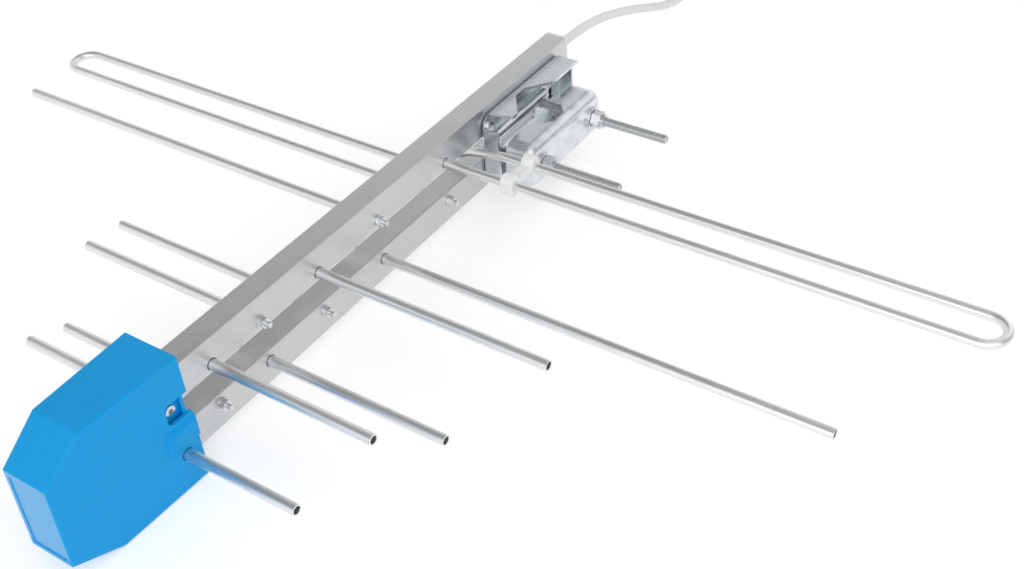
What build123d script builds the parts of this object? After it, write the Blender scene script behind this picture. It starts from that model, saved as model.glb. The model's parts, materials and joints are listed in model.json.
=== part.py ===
from build123d import *
from math import pi, radians, tan
import os

os.makedirs("parts", exist_ok=True)

# Log-periodic antenna with an amplifier housing, a folded loop and a mast clamp.
# Frame: +X to the right of the booms, +Y from the amplifier to the mast, +Z up. The origin lies
# midway along the antenna, on the surface that the underside of the housing rests on.

# Booms: two rectangular tubes, one above the other
BOOM_WIDTH = 15.0
BOOM_HEIGHT = 20.0
BOOM_WALL = 1.2
BOOM_CORNER = 0.8
BOOM_GAP = 15.8
BOOM_FRONT = -190.0
BOOM_END = 220.0
LOWER_BOOM_RISE = 8.1

# Elements: tubes that stick out to each side, front pair first
ELEMENT_DIAMETER = 6.0
ELEMENT_WALL = 0.8
LOWER_ELEMENT_OFFSET = 3.0
UPPER_ELEMENT_OFFSET = -5.7
ELEMENT_STATIONS = (-147.0, -113.0, -77.0, -32.0, 20.0)
ELEMENT_REACHES = (85.0, 107.0, 119.0, 150.0, 276.0)
WALL_HOLE_CLEARANCE = 0.4
PRESS_CLEARANCE = 0.02

# Small fixings of the elements
THREAD_DIAMETER = 3.0
THREAD_CLEARANCE = 0.1
STUD_SHANK_LENGTH = 10.0
STUD_PROJECTION = 3.0
SMALL_WASHER_DIAMETER = 7.0
SMALL_WASHER_THICKNESS = 0.6
SMALL_NUT_FLATS = 5.5
SMALL_NUT_THICKNESS = 2.4
CAP_HEAD_DIAMETER = 6.0
CAP_HEAD_HEIGHT = 5.6
CAP_SOCKET_FLATS = 2.5
CAP_SOCKET_DEPTH = 2.2

# Folded loop of bent rod
LOOP_ROD = 5.5
LOOP_REACH = 331.8
LOOP_FRONT_LEG = 84.0
LOOP_REAR_LEG = 106.0
LOOP_BEND_RADIUS = 10.9
LOOP_CROSSING_START = 32.0
LOOP_CROSSING_BULGE = 9.5
LOOP_CROSSING_RADIUS = 28.0

# Clip that holds the loop's two right-hand legs apart
CLIP_CENTRE = 52.0
CLIP_LENGTH = 7.5
CLIP_EYE_WIDTH = 9.5
CLIP_EYE_HEIGHT = 13.5
CLIP_BRIDGE_HEIGHT = 5.0
CLIP_BORE_CLEARANCE = 0.05

# Amplifier housing
HOUSING_FRONT = -220.0
HOUSING_REAR = -138.2
HOUSING_HEIGHT = 78.0
HOUSING_WALL = 2.0
HOUSING_FRONT_HALF_WIDTH = 13.9
HOUSING_REAR_HALF_WIDTH = 16.9
HOUSING_EDGE = 1.0
SLOPE_LENGTH = 24.8
SLOPE_DROP = 16.2
CHAMFER_LENGTH = 27.0
CHAMFER_RISE = 12.8
FRONT_LEAN = 1.3
FRONT_RIM = 3.0
FRONT_INSET = 0.5
NOTCH_DEPTH = 14.0
NOTCH_HEIGHT = 12.6
NOTCH_RADIUS = 3.0
NOTCH_SHIFT = 1.4
BOSS_FRONT = -157.0
BOSS_REAR = -136.4
BOSS_BOTTOM = 27.0
BOSS_TOP = 40.4
BOSS_HEIGHT = 1.8
BOSS_DRAFT = 30.0
BOSS_ROOT = 0.4
COVER_THICKNESS = 2.0
COVER_INSET = 1.5
COVER_CLEARANCE = 0.05
FIXING_BOSS_DIAMETER = 8.0
HOUSING_SCREW_STATIONS = (-184.0, -158.0)
HOUSING_SCREW_HEAD = 6.0
HOUSING_SCREW_LENGTH = 12.0

# Amplifier board, held on plugs in the front ends of the booms
PLUG_LENGTH = 12.0
BOARD_WIDTH = 24.0
BOARD_HEIGHT = 60.0
BOARD_THICKNESS = 1.6
BOARD_SCREW_LENGTH = 9.0
BOARD_SCREW_HEAD_DIAMETER = 5.5
BOARD_SCREW_HEAD_HEIGHT = 2.0
UPPER_BOARD_SCREW_OFFSET = -5.0
SHIELD_WIDTH = 18.0
SHIELD_HEIGHT = 20.0
SHIELD_DEPTH = 8.0
SHIELD_WALL = 0.5
CORE_DIAMETER = 1.2
CORE_PROJECTION = 2.0

# Spacers between the booms, and the ends of the booms
SPACER_WIDTH = 11.0
FRONT_SPACER = (-176.0, -164.0)
REAR_SPACER = (206.0, 218.0)
CAP_DEPTH = 10.0
CAP_FLANGE = 2.0

# Mast clamp: bracket on the right-hand side of the booms
SHEET = 2.0
CLAMP_STATION = 158.0
CLAMP_RISE = 34.0
BRACKET_FRONT = 121.0
BRACKET_REAR = 209.0
BRACKET_HEIGHT = 49.0
BRACKET_DEPTH = 16.5
BRACKET_BEND = 2.6
BRACKET_CORNER = 8.0
BRACKET_WALL_DEPTH = 12.0
BRACKET_RELIEF_DROP = 8.0
FLANGE_FRONT = 129.0
FLANGE_LEAD = 3.0
NOTCH_MOUTH = 43.0
NOTCH_FLOOR = 12.0
BRACKET_NOTCH_DEPTH = 11.5
TOOTH_COUNT = 8
TOOTH_HEIGHT = 1.1
WINDOW_LENGTH = 40.0
WINDOW_HEIGHT = 9.0
WINDOW_RISE = 33.0
RIB_RADIUS = 4.0
RIB_WALL = 1.4
RIB_STANDOFF = 5.0
RIB_RISE = 41.6
RIB_FRONT = 127.0
RIB_REAR = 187.0
SIGHT_SLOT_LENGTH = 7.0
SIGHT_SLOT_HEIGHT = 8.0
SIGHT_SLOT_STATION = 198.0
SIGHT_SLOT_RISE = 36.0

# Mast clamp: jaw, studs and nuts
JAW_GAP = 4.0
JAW_DEPTH = 18.0
JAW_LENGTH = 84.0
JAW_HEIGHT = 30.0
JAW_CORNER = 9.0
JAW_SHOULDER = 6.5
JAW_NOTCH_DEPTH = 12.0
CLAMP_STUD_DIAMETER = 6.0
CLAMP_STUD_SPACING = 58.0
CLAMP_STUD_END = 99.0
CLAMP_STUD_HOLE_CLEARANCE = 0.3
CLAMP_NUT_RUNNING_CLEARANCE = 0.05
CLAMP_NUT_SEAT_GAP = 0.3
CLAMP_NUT_FLATS = 10.0
CLAMP_NUT_THICKNESS = 6.0
CLAMP_NUT_COLLAR_DIAMETER = 9.0
CLAMP_NUT_COLLAR_LENGTH = 2.0
CLAMP_NUT_EDGE = 0.5
CLAMP_HEAD_THICKNESS = 4.0
CLAMP_WASHER_DIAMETER = 14.0
CLAMP_WASHER_THICKNESS = 1.6
RIVET_STATIONS = (126.8, 202.5)
RIVET_SPREAD = 32.0
RIVET_DIAMETER = 4.0
RIVET_HEAD_DIAMETER = 7.0
RIVET_HEAD_HEIGHT = 1.5
RIVET_TAIL_DIAMETER = 5.4
RIVET_TAIL_LENGTH = 1.8

# Coaxial cable: inside the upper boom, along the floor, coiled, and the tail with its plug
CABLE_DIAMETER = 6.0
CABLE_OFFSET = 0.7
CABLE_CLEARANCE = 0.05
CABLE_ROUTE = (
    (0.0, 222.0, 54.6),
    (0.0, 246.0, 54.6),
    (0.5, 278.0, 50.0),
    (0.0, 312.0, 39.0),
    (-1.0, 347.0, 25.0),
    (-2.0, 384.0, 9.5),
    (-4.6, 420.0, 3.1),
    (-3.2, 457.0, 3.2),
    (-4.0, 494.0, 4.55),
    (-4.0, 522.0, 4.55),
)
COIL_CENTRE = (-52.2, 522.0)
COIL_MEAN_RADIUS = 36.0
COIL_PITCH = 6.1
COIL_COLUMNS = 5
COIL_ROWS = 4
COIL_LIFT = 1.5
COIL_EDGE = 2.0
COIL_STEP_CLEARANCE = 0.8
TIE_THICKNESS = 1.2
TIE_WIDTH = 5.0
TIE_CLEARANCE = 0.3
TAIL_ROUTE = (
    (-100.4, 522.0, 22.85),
    (-100.4, 502.0, 22.85),
    (-99.6, 478.0, 18.0),
    (-100.2, 453.0, 9.0),
    (-100.0, 429.0, 6.5),
    (-100.0, 407.0, 6.5),
)
PLUG_SLEEVE_LENGTH = 12.0
PLUG_GRIP_LENGTH = 18.0
PLUG_RADIUS = 6.5
PLUG_SLEEVE_RADIUS = 4.4
PLUG_NOSE_LENGTH = 4.0
PLUG_SHELL_RADIUS = 4.75
PLUG_SHELL_WALL = 0.5
PLUG_SHELL_LENGTH = 12.0
PLUG_PIN_RADIUS = 1.2
PLUG_PIN_SEAT = 2.0
PLUG_PIN_LENGTH = 9.0

# Worked-out places
lower_z = LOWER_BOOM_RISE + BOOM_HEIGHT / 2
upper_z = lower_z + BOOM_HEIGHT + BOOM_GAP
middle_z = (lower_z + upper_z) / 2
boom_face = BOOM_WIDTH / 2
boom_bore = boom_face - BOOM_WALL
bore_width = BOOM_WIDTH - 2 * BOOM_WALL
bore_height = BOOM_HEIGHT - 2 * BOOM_WALL
lower_element_z = lower_z + LOWER_ELEMENT_OFFSET
upper_element_z = upper_z + UPPER_ELEMENT_OFFSET
cable_z = upper_z + CABLE_OFFSET
cable_hole = CABLE_DIAMETER / 2 + CABLE_CLEARANCE
thread_radius = THREAD_DIAMETER / 2
thread_hole = thread_radius + THREAD_CLEARANCE
bracket_base = boom_face + SHEET
bracket_edge = boom_face + BRACKET_DEPTH
jaw_inner = bracket_edge + JAW_GAP
jaw_outer = jaw_inner + JAW_DEPTH
clamp_stud_radius = CLAMP_STUD_DIAMETER / 2
clamp_stud_stations = (
    CLAMP_STATION - CLAMP_STUD_SPACING / 2,
    CLAMP_STATION + CLAMP_STUD_SPACING / 2,
)
rivet_heights = (CLAMP_RISE - RIVET_SPREAD / 2, CLAMP_RISE + RIVET_SPREAD / 2)
rivet_places = [(y, z) for y in RIVET_STATIONS for z in rivet_heights]

# Each leg: its node's name, whether the lower boom carries it, its station, its side and its reach
element_legs = []
for number, (station, reach) in enumerate(zip(ELEMENT_STATIONS, ELEMENT_REACHES), start=1):
    for side_name, side in (("right", 1), ("left", -1)):
        in_lower = (number % 2 == 1) == (side == 1)
        element_legs.append((f"element_{side_name}_{number}", in_lower, station, side, reach))

# Each fixing lies on the face of the boom opposite its leg: station, height and side of that face
stud_places = []
screw_places = []
for name, in_lower, station, side, reach in element_legs:
    place = (station, lower_element_z if in_lower else upper_element_z, -side)
    if station == ELEMENT_STATIONS[0]:
        screw_places.append(place)
    else:
        stud_places.append(place)
loop_places = [(LOOP_FRONT_LEG, upper_element_z, -1), (LOOP_FRONT_LEG, lower_element_z, 1)]
nut_places = stud_places + loop_places


def across(y):
    """Plane square to the booms at station y: local x is +X, local y is +Z, outward is -Y."""
    return Plane.XZ.offset(-y)


def beside(x):
    """Plane along the booms at distance x: local x is +Y, local y is +Z, outward is +X."""
    return Plane.YZ.offset(x)


def save(piece, name):
    piece.part.label = name
    export_step(piece.part, f"parts/{name}.step")


def route_radii(points):
    """Largest corner radii that leave a straight stretch in each run: 0.45 of the shorter run."""
    places = [Vector(*point) for point in points]
    radii = []
    for before, corner, after in zip(places, places[1:], places[2:]):
        turn = (corner - before).get_angle(after - corner)
        shorter = min((corner - before).length, (after - corner).length)
        radii.append(0.45 * shorter / tan(radians(turn) / 2))
    return radii


def toothed_notch(centre, mouth_x, depth):
    """Outline of a V notch in plan, with teeth along both flanks: (x, y) points from mouth to mouth."""
    flank = []
    steps = 2 * TOOTH_COUNT
    for step in range(steps + 1):
        share = step / steps
        half = NOTCH_MOUTH / 2 + (NOTCH_FLOOR - NOTCH_MOUTH) / 2 * share
        tooth = TOOTH_HEIGHT if step % 2 == 1 else 0.0
        flank.append((mouth_x + depth * share, half - tooth))
    rear = [(x, centre + half) for x, half in flank]
    front = [(x, centre - half) for x, half in reversed(flank)]
    return rear + front


# Booms
for name, z, in_lower_boom, loop_side in (("lower_boom", lower_z, True, -1), ("upper_boom", upper_z, False, 1)):
    with BuildPart() as boom:
        with BuildSketch(across(BOOM_FRONT)):
            with Locations((0, z)):
                RectangleRounded(BOOM_WIDTH, BOOM_HEIGHT, BOOM_CORNER)
                Rectangle(bore_width, bore_height, mode=Mode.SUBTRACT)
        extrude(amount=-(BOOM_END - BOOM_FRONT))
        leg_z = lower_element_z if in_lower_boom else upper_element_z
        legs = [(leg[2], leg[3], ELEMENT_DIAMETER / 2) for leg in element_legs if leg[1] == in_lower_boom]
        legs.append((LOOP_FRONT_LEG, loop_side, LOOP_ROD / 2))
        for station, side, radius in legs:
            with BuildSketch(Plane.YZ):
                with Locations((station, leg_z)):
                    Circle(radius + WALL_HOLE_CLEARANCE)
            extrude(amount=side * BOOM_WIDTH, mode=Mode.SUBTRACT)
            with BuildSketch(Plane.YZ):
                with Locations((station, leg_z)):
                    Circle(thread_hole)
            extrude(amount=-side * BOOM_WIDTH, mode=Mode.SUBTRACT)
        with BuildSketch(Plane.YZ):
            with Locations(*[place for place in rivet_places if (place[1] < middle_z) == in_lower_boom]):
                Circle(RIVET_DIAMETER / 2 + THREAD_CLEARANCE)
        extrude(amount=BOOM_WIDTH, mode=Mode.SUBTRACT)
        if in_lower_boom:
            with BuildSketch(Plane.XY):
                with Locations(*[(0, station) for station in HOUSING_SCREW_STATIONS]):
                    Circle(thread_hole)
            extrude(amount=lower_z, mode=Mode.SUBTRACT)
    save(boom, name)

# Spacers that hold the booms apart at their ends
for name, (front, rear), width, shift in (
    ("boom_spacer_front", FRONT_SPACER, SPACER_WIDTH, 0.0),
    ("boom_spacer_rear", REAR_SPACER, SPACER_WIDTH, 0.0),
):
    with BuildPart() as spacer:
        with BuildSketch(across(front)):
            with Locations((shift, middle_z)):
                Rectangle(width, BOOM_GAP)
        extrude(amount=-(rear - front))
        fillet(spacer.edges().filter_by(Axis.Z), 1.0)
    save(spacer, name)

# Closed cap on the lower boom's rear end
with BuildPart() as lower_boom_cap:
    with BuildSketch(across(BOOM_END)):
        with Locations((0, lower_z)):
            RectangleRounded(BOOM_WIDTH, BOOM_HEIGHT, BOOM_CORNER)
    extrude(amount=-CAP_FLANGE)
    with BuildSketch(across(BOOM_END)):
        with Locations((0, lower_z)):
            Rectangle(bore_width - 2 * PRESS_CLEARANCE, bore_height - 2 * PRESS_CLEARANCE)
    extrude(amount=CAP_DEPTH)
save(lower_boom_cap, "lower_boom_cap")

# Bushing on the upper boom's rear end, with a hole for the cable
with BuildPart() as cable_bushing:
    with BuildSketch(across(BOOM_END)):
        with Locations((0, upper_z)):
            RectangleRounded(BOOM_WIDTH, BOOM_HEIGHT, BOOM_CORNER)
    extrude(amount=-CAP_FLANGE)
    with BuildSketch(across(BOOM_END)):
        with Locations((0, upper_z)):
            Rectangle(bore_width - 2 * PRESS_CLEARANCE, bore_height - 2 * PRESS_CLEARANCE)
    extrude(amount=CAP_DEPTH)
    with BuildSketch(across(BOOM_END)):
        with Locations((0, cable_z)):
            Circle(cable_hole)
    extrude(amount=CAP_DEPTH, both=True, mode=Mode.SUBTRACT)
save(cable_bushing, "cable_bushing")

# Elements: each tube crosses its boom and butts against the far wall
for name, in_lower, station, side, reach in element_legs:
    with BuildPart() as element:
        with BuildSketch(beside(-side * boom_bore)):
            with Locations((station, lower_element_z if in_lower else upper_element_z)):
                Circle(ELEMENT_DIAMETER / 2)
                Circle(ELEMENT_DIAMETER / 2 - ELEMENT_WALL, mode=Mode.SUBTRACT)
        extrude(amount=side * (reach + boom_bore))
    save(element, name)

# Studs pressed into the inner ends of the elements, with washers and nuts outside the far wall
element_bore = ELEMENT_DIAMETER / 2 - ELEMENT_WALL
stud_reach = BOOM_WALL + SMALL_WASHER_THICKNESS + SMALL_NUT_THICKNESS + STUD_PROJECTION

with BuildPart() as element_studs:
    for station, z, side in stud_places:
        with BuildSketch(beside(side * boom_bore)):
            with Locations((station, z)):
                Circle(element_bore - PRESS_CLEARANCE)
        extrude(amount=-side * STUD_SHANK_LENGTH)
        with BuildSketch(beside(side * boom_bore)):
            with Locations((station, z)):
                Circle(thread_radius)
        extrude(amount=side * stud_reach)
save(element_studs, "element_studs")

with BuildPart() as element_washers:
    for station, z, side in nut_places:
        with BuildSketch(beside(side * boom_face)):
            with Locations((station, z)):
                Circle(SMALL_WASHER_DIAMETER / 2)
                Circle(thread_hole, mode=Mode.SUBTRACT)
        extrude(amount=side * SMALL_WASHER_THICKNESS)
save(element_washers, "element_washers")

with BuildPart() as element_nuts:
    for station, z, side in nut_places:
        with BuildSketch(beside(side * (boom_face + SMALL_WASHER_THICKNESS))):
            with Locations((station, z)):
                RegularPolygon(SMALL_NUT_FLATS / 2, 6, major_radius=False)
                Circle(thread_radius + PRESS_CLEARANCE, mode=Mode.SUBTRACT)
        extrude(amount=side * SMALL_NUT_THICKNESS)
save(element_nuts, "element_nuts")

# The front pair is held by socket-head screws in threaded inserts
with BuildPart() as element_inserts:
    for station, z, side in screw_places:
        with BuildSketch(beside(side * boom_bore)):
            with Locations((station, z)):
                Circle(element_bore - PRESS_CLEARANCE)
                Circle(thread_radius + PRESS_CLEARANCE, mode=Mode.SUBTRACT)
        extrude(amount=-side * STUD_SHANK_LENGTH)
save(element_inserts, "element_inserts")

with BuildPart() as element_screws:
    for station, z, side in screw_places:
        with BuildSketch(beside(side * boom_face)):
            with Locations((station, z)):
                Circle(CAP_HEAD_DIAMETER / 2)
        extrude(amount=side * CAP_HEAD_HEIGHT)
        with BuildSketch(beside(side * boom_face)):
            with Locations((station, z)):
                Circle(thread_radius)
        extrude(amount=-side * (BOOM_WALL + STUD_SHANK_LENGTH))
        with BuildSketch(beside(side * (boom_face + CAP_HEAD_HEIGHT))):
            with Locations((station, z)):
                RegularPolygon(CAP_SOCKET_FLATS / 2, 6, major_radius=False)
        extrude(amount=-side * CAP_SOCKET_DEPTH, mode=Mode.SUBTRACT)
save(element_screws, "element_screws")

# Folded loop: one rod from the upper boom out to the right, back through the gap between the booms
# and out to the left, ending in the lower boom, with a threaded tip at each end
loop_bend_x = LOOP_REACH - LOOP_ROD / 2
loop_points = (
    (-boom_bore, LOOP_FRONT_LEG, upper_element_z),
    (loop_bend_x, LOOP_FRONT_LEG, upper_element_z),
    (loop_bend_x, LOOP_REAR_LEG, upper_element_z),
    (LOOP_CROSSING_START, LOOP_REAR_LEG, upper_element_z),
    (0.0, LOOP_REAR_LEG + LOOP_CROSSING_BULGE, middle_z),
    (-LOOP_CROSSING_START, LOOP_REAR_LEG, lower_element_z),
    (-loop_bend_x, LOOP_REAR_LEG, lower_element_z),
    (-loop_bend_x, LOOP_FRONT_LEG, lower_element_z),
    (boom_bore, LOOP_FRONT_LEG, lower_element_z),
)
loop_radii = [LOOP_BEND_RADIUS] * 2 + [LOOP_CROSSING_RADIUS] * 3 + [LOOP_BEND_RADIUS] * 2

with BuildPart() as folded_loop:
    with BuildLine() as loop_path:
        FilletPolyline(*loop_points, radius=loop_radii)
    with BuildSketch(beside(-boom_bore)):
        with Locations((LOOP_FRONT_LEG, upper_element_z)):
            Circle(LOOP_ROD / 2)
    sweep(path=loop_path.line)
    for station, z, side in loop_places:
        with BuildSketch(beside(side * boom_bore)):
            with Locations((station, z)):
                Circle(thread_radius)
        extrude(amount=side * stud_reach)
save(folded_loop, "folded_loop")

# Double clip on the loop's right-hand legs
clip_eyes = [(LOOP_FRONT_LEG, upper_element_z), (LOOP_REAR_LEG, upper_element_z)]

with BuildPart() as loop_clip:
    with BuildSketch(beside(CLIP_CENTRE - CLIP_LENGTH / 2)):
        with Locations(*clip_eyes):
            SlotOverall(CLIP_EYE_HEIGHT, CLIP_EYE_WIDTH, rotation=90)
        with Locations(((LOOP_FRONT_LEG + LOOP_REAR_LEG) / 2, upper_element_z)):
            Rectangle(LOOP_REAR_LEG - LOOP_FRONT_LEG, CLIP_BRIDGE_HEIGHT)
        with Locations(*clip_eyes):
            Circle(LOOP_ROD / 2 + CLIP_BORE_CLEARANCE, mode=Mode.SUBTRACT)
    extrude(amount=CLIP_LENGTH)
    fillet(loop_clip.faces().sort_by(Axis.X)[-1].outer_wire().edges(), 0.8)
    fillet(loop_clip.faces().sort_by(Axis.X)[0].outer_wire().edges(), 0.8)
save(loop_clip, "loop_clip")

# Housing outline in side view, as (y, z) points
housing_profile = (
    (HOUSING_REAR, 0.0),
    (HOUSING_FRONT + CHAMFER_LENGTH, 0.0),
    (HOUSING_FRONT, CHAMFER_RISE),
    (HOUSING_FRONT + FRONT_LEAN, HOUSING_HEIGHT - SLOPE_DROP),
    (HOUSING_FRONT + SLOPE_LENGTH, HOUSING_HEIGHT),
    (HOUSING_REAR, HOUSING_HEIGHT),
)
housing_middle_z = HOUSING_HEIGHT / 2


def plan_taper(inset, front, rear):
    """Plan outline between two stations, narrowing to the front, as (x, y) points."""
    slope = (HOUSING_REAR_HALF_WIDTH - HOUSING_FRONT_HALF_WIDTH) / (HOUSING_REAR - HOUSING_FRONT)
    front_half = HOUSING_FRONT_HALF_WIDTH + slope * (front - HOUSING_FRONT) - inset
    rear_half = HOUSING_FRONT_HALF_WIDTH + slope * (rear - HOUSING_FRONT) - inset
    return [(-front_half, front), (front_half, front), (rear_half, rear), (-rear_half, rear)]


# Space inside the housing, open at the rear
with BuildPart() as housing_cavity:
    with BuildSketch(Plane.YZ):
        with BuildLine():
            Polyline(*housing_profile, close=True)
        make_face()
        offset(amount=-HOUSING_WALL, kind=Kind.INTERSECTION)
        with BuildLine():
            Polyline(
                (HOUSING_REAR - 2 * HOUSING_WALL, HOUSING_WALL),
                (HOUSING_REAR + HOUSING_WALL, HOUSING_WALL),
                (HOUSING_REAR + HOUSING_WALL, HOUSING_HEIGHT - HOUSING_WALL),
                (HOUSING_REAR - 2 * HOUSING_WALL, HOUSING_HEIGHT - HOUSING_WALL),
                close=True,
            )
        make_face()
    extrude(amount=HOUSING_REAR_HALF_WIDTH, both=True)
    with BuildSketch(Plane.XY):
        with BuildLine():
            Polyline(*plan_taper(HOUSING_WALL, HOUSING_FRONT, HOUSING_REAR + HOUSING_WALL), close=True)
        make_face()
    extrude(amount=HOUSING_HEIGHT, mode=Mode.INTERSECT)

# Housing shell
with BuildPart() as amplifier_housing:
    with BuildSketch(Plane.YZ):
        with BuildLine():
            Polyline(*housing_profile, close=True)
        make_face()
    extrude(amount=HOUSING_REAR_HALF_WIDTH, both=True)
    with BuildSketch(Plane.XY):
        with BuildLine():
            Polyline(*plan_taper(0.0, HOUSING_FRONT, HOUSING_REAR), close=True)
        make_face()
    extrude(amount=HOUSING_HEIGHT, mode=Mode.INTERSECT)
    outer_edges = amplifier_housing.edges().filter_by(lambda edge: edge.center().Y < HOUSING_REAR - 1.0)
    fillet(outer_edges, HOUSING_EDGE)
    add(housing_cavity.part, mode=Mode.SUBTRACT)
    # raised boss beside the front right element
    with BuildSketch(beside(HOUSING_REAR_HALF_WIDTH - HOUSING_WALL + BOSS_ROOT)):
        with Locations(((BOSS_FRONT + BOSS_REAR) / 2, (BOSS_BOTTOM + BOSS_TOP) / 2)):
            Rectangle(BOSS_REAR - BOSS_FRONT, BOSS_TOP - BOSS_BOTTOM)
    extrude(amount=HOUSING_WALL - BOSS_ROOT + BOSS_HEIGHT, taper=BOSS_DRAFT)
    # pockets that open to the rear, one for each screw head of the front pair
    for station, z, side in screw_places:
        with BuildSketch(Plane.YZ):
            with Locations((HOUSING_REAR - NOTCH_DEPTH / 2 + NOTCH_RADIUS, z + NOTCH_SHIFT * side)):
                RectangleRounded(NOTCH_DEPTH + 2 * NOTCH_RADIUS, NOTCH_HEIGHT, NOTCH_RADIUS)
        extrude(amount=side * 2 * HOUSING_REAR_HALF_WIDTH, mode=Mode.SUBTRACT)
    # holes for the front pair of elements
    for station, z, side in screw_places:
        with BuildSketch(Plane.YZ):
            with Locations((station, z)):
                Circle(ELEMENT_DIAMETER / 2 + WALL_HOLE_CLEARANCE)
        extrude(amount=-side * 2 * HOUSING_REAR_HALF_WIDTH, mode=Mode.SUBTRACT)
    # inset panel in the front wall
    front_wall = Plane(
        origin=(0, HOUSING_FRONT, CHAMFER_RISE),
        x_dir=(1, 0, 0),
        z_dir=(0, -(HOUSING_HEIGHT - SLOPE_DROP - CHAMFER_RISE), FRONT_LEAN),
    )
    panel_height = HOUSING_HEIGHT - SLOPE_DROP - CHAMFER_RISE
    with BuildSketch(front_wall):
        with Locations((0, panel_height / 2)):
            Rectangle(2 * (HOUSING_FRONT_HALF_WIDTH - FRONT_RIM), panel_height - 2 * FRONT_RIM)
    extrude(amount=-FRONT_INSET, mode=Mode.SUBTRACT)
    # bosses on the floor that carry the lower boom
    with BuildSketch(Plane.XY.offset(HOUSING_WALL)):
        with Locations(*[(0, station) for station in HOUSING_SCREW_STATIONS]):
            Circle(FIXING_BOSS_DIAMETER / 2)
    extrude(amount=LOWER_BOOM_RISE - HOUSING_WALL)
    with Locations(Plane(origin=(0, 0, 0), x_dir=(1, 0, 0), z_dir=(0, 0, -1))):
        with Locations(*[(0, -station) for station in HOUSING_SCREW_STATIONS]):
            CounterSinkHole(thread_hole, HOUSING_SCREW_HEAD / 2 + THREAD_CLEARANCE, depth=LOWER_BOOM_RISE)
save(amplifier_housing, "amplifier_housing")

# Rear cover, fitted round both booms
cover_half_width = plan_taper(HOUSING_WALL, HOUSING_REAR - COVER_INSET - COVER_THICKNESS, HOUSING_REAR)[1][0]
with BuildPart() as housing_rear_cover:
    with BuildSketch(across(HOUSING_REAR - COVER_INSET)):
        with Locations((0, housing_middle_z)):
            Rectangle(
                2 * (cover_half_width - COVER_CLEARANCE),
                HOUSING_HEIGHT - 2 * (HOUSING_WALL + COVER_CLEARANCE),
            )
        with Locations((0, lower_z), (0, upper_z)):
            Rectangle(
                BOOM_WIDTH + 2 * COVER_CLEARANCE,
                BOOM_HEIGHT + 2 * COVER_CLEARANCE,
                mode=Mode.SUBTRACT,
            )
    extrude(amount=COVER_THICKNESS)
save(housing_rear_cover, "housing_rear_cover")

# Countersunk screws up through the housing's floor
with BuildPart() as housing_screws:
    for station in HOUSING_SCREW_STATIONS:
        with BuildSketch(Plane(origin=(0, station, 0), x_dir=(1, 0, 0), z_dir=(0, -1, 0))):
            with BuildLine():
                Polyline(
                    (0.0, 0.0),
                    (HOUSING_SCREW_HEAD / 2, 0.0),
                    (thread_radius, HOUSING_SCREW_HEAD / 2 - thread_radius),
                    (thread_radius, HOUSING_SCREW_LENGTH),
                    (0.0, HOUSING_SCREW_LENGTH),
                    close=True,
                )
            make_face()
        revolve(axis=Axis((0, station, 0), (0, 0, 1)))
save(housing_screws, "housing_screws")

# Plugs in the front ends of the booms
board_screws_z = (lower_z, upper_z + UPPER_BOARD_SCREW_OFFSET)
for name, z, screw_z in (
    ("boom_plug_lower", lower_z, board_screws_z[0]),
    ("boom_plug_upper", upper_z, board_screws_z[1]),
):
    with BuildPart() as boom_plug:
        with BuildSketch(across(BOOM_FRONT)):
            with Locations((0, z)):
                Rectangle(bore_width - 2 * PRESS_CLEARANCE, bore_height - 2 * PRESS_CLEARANCE)
            with Locations((0, screw_z)):
                Circle(thread_radius + PRESS_CLEARANCE, mode=Mode.SUBTRACT)
            if z == upper_z:
                with Locations((0, cable_z)):
                    Circle(cable_hole, mode=Mode.SUBTRACT)
        extrude(amount=-PLUG_LENGTH)
        if z == lower_z:
            with BuildSketch(Plane.XY):
                with Locations((0, HOUSING_SCREW_STATIONS[0])):
                    Circle(thread_radius + PRESS_CLEARANCE)
            extrude(amount=lower_z, mode=Mode.SUBTRACT)
    save(boom_plug, name)

# Amplifier board across the front ends of the booms
with BuildPart() as amplifier_board:
    with BuildSketch(across(BOOM_FRONT)):
        with Locations((0, middle_z)):
            Rectangle(BOARD_WIDTH, BOARD_HEIGHT)
        with Locations(*[(0, z) for z in board_screws_z]):
            Circle(thread_hole, mode=Mode.SUBTRACT)
        with Locations((0, cable_z)):
            Circle(CORE_DIAMETER / 2 + PRESS_CLEARANCE, mode=Mode.SUBTRACT)
    extrude(amount=BOARD_THICKNESS)
save(amplifier_board, "amplifier_board")

board_front = BOOM_FRONT - BOARD_THICKNESS
with BuildPart() as board_screws:
    for z in board_screws_z:
        with BuildSketch(across(board_front)):
            with Locations((0, z)):
                Circle(BOARD_SCREW_HEAD_DIAMETER / 2)
        extrude(amount=BOARD_SCREW_HEAD_HEIGHT)
        with BuildSketch(across(board_front)):
            with Locations((0, z)):
                Circle(thread_radius)
        extrude(amount=-BOARD_SCREW_LENGTH)
save(board_screws, "board_screws")

shield_z = (board_screws_z[0] + board_screws_z[1]) / 2
with BuildPart() as amplifier_shield:
    with BuildSketch(across(board_front)):
        with Locations((0, shield_z)):
            Rectangle(SHIELD_WIDTH, SHIELD_HEIGHT)
    extrude(amount=SHIELD_DEPTH)
    offset(amount=-SHIELD_WALL, openings=amplifier_shield.faces().sort_by(Axis.Y)[-1])
save(amplifier_shield, "amplifier_shield")

# Cable inside the upper boom, and its bare core through the board
feed_front = BOOM_FRONT + BOARD_THICKNESS
with BuildPart() as feed_cable:
    with BuildSketch(across(feed_front)):
        with Locations((0, cable_z)):
            Circle(CABLE_DIAMETER / 2)
    extrude(amount=-(BOOM_END + CAP_FLANGE - feed_front))
save(feed_cable, "feed_cable")

with BuildPart() as feed_core:
    with BuildSketch(across(feed_front)):
        with Locations((0, cable_z)):
            Circle(CORE_DIAMETER / 2)
    extrude(amount=feed_front - board_front + CORE_PROJECTION)
save(feed_core, "feed_core")

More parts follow.
